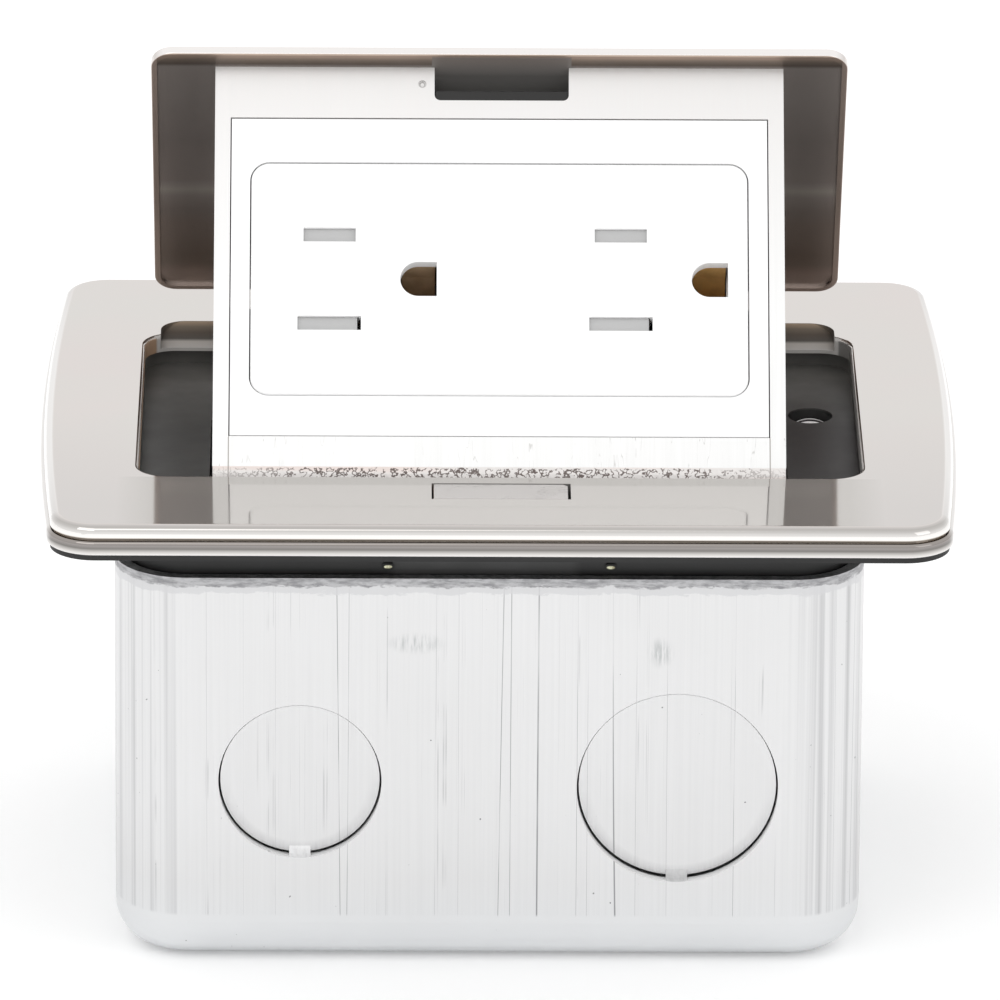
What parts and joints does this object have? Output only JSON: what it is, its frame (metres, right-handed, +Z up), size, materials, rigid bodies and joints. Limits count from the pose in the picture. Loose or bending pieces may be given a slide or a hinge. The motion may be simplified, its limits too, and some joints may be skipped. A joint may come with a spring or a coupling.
{
  "type": "pop-up floor socket box",
  "caption": "Floor socket box with a steel back box, satin cover plate and a spring-raised hinged lid that carries a power receptacle on its sloping face.",
  "frame": {"origin": "bottom centre of the whole object's box, on the steel box's floor below the middle of the cover plate", "axes": "+X to the right and -Y to the front, the side the receptacle faces; +Z up"},
  "size_m": [0.1234, 0.1014, 0.1128],
  "materials": {
    "galvanised_steel": "drawn and galvanised, satin",
    "frame_coat": "black zinc, satin",
    "gasket_rubber": "matt black",
    "satin_nickel": "satin nickel plate",
    "zinc_steel": "bright zinc",
    "spring_steel": "oiled",
    "brass": "plain",
    "aluminium": "brushed, clear",
    "black_nylon": "moulded",
    "white_plastic": "moulded, low gloss",
    "grey_plastic": "moulded",
    "green_screw": "green zinc"
  },
  "bodies": {
    "base": {"steel_box": "galvanised_steel", "box_lugs": "galvanised_steel", "ground_screw": "green_screw", "mech_frame": "frame_coat", "gasket": "gasket_rubber", "cover_plate": "satin_nickel", "plate_screws": "zinc_steel", "frame_screw": "zinc_steel", "hinge_pins": "zinc_steel", "pin_clips": "spring_steel", "torsion_springs": "spring_steel", "stop_pads": "gasket_rubber", "bolt_retainer": "zinc_steel", "retainer_rivets": "brass", "button_springs": "spring_steel"},
    "module": {"lid": "satin_nickel", "lid_nuts": "zinc_steel", "bracket": "aluminium", "catch_block": "black_nylon", "insert_panel": "white_plastic", "receptacle_face": "white_plastic", "shutter_springs": "spring_steel", "receptacle_body": "white_plastic", "hot_contacts": "brass", "neutral_contacts": "brass", "ground_contacts": "brass", "hot_screws": "brass", "neutral_screws": "zinc_steel", "device_strap": "zinc_steel", "green_screw": "green_screw", "strap_screws": "zinc_steel"},
    "latch_button": {"latch_button": "satin_nickel"},
    "latch_bolt": {"latch_bolt": "zinc_steel"},
    "shutter_left": {"shutter_left": "grey_plastic"},
    "shutter_right": {"shutter_right": "grey_plastic"}
  },
  "joints": [
    {"name": "module_hinge", "type": "hinge", "parent": "base", "child": "module", "pos_m": [0, 0.03356, 0.05303], "axis": [1, 0, 0], "range_deg": [0, 56.5], "stiffness_Nm_per_rad": 0.05, "springref_deg": -91.67, "deforming": ["torsion_springs"]},
    {"name": "latch_press", "type": "slide", "parent": "base", "child": "latch_button", "axis": [0, 0, -1], "range_m": [0, 0.003], "stiffness_N_per_m": 300, "springref_m": -0.002, "deforming": ["button_springs"]},
    {"name": "bolt_slide", "type": "slide", "parent": "base", "child": "latch_bolt", "axis": [0, -1, 0], "range_m": [0, 0.003]},
    {"name": "shutter_left_slide", "type": "slide", "parent": "module", "child": "shutter_left", "axis": [0, 0.6481, 0.7615], "range_m": [0, 0.0026], "stiffness_N_per_m": 60, "springref_m": -0.001, "deforming": ["shutter_springs"]},
    {"name": "shutter_right_slide", "type": "slide", "parent": "module", "child": "shutter_right", "axis": [0, 0.6481, 0.7615], "range_m": [0, 0.0026], "stiffness_N_per_m": 60, "springref_m": -0.001}
  ],
  "couplings": [
    {"joint": "bolt_slide", "follows": "latch_press", "ratio": 1}
  ]
}
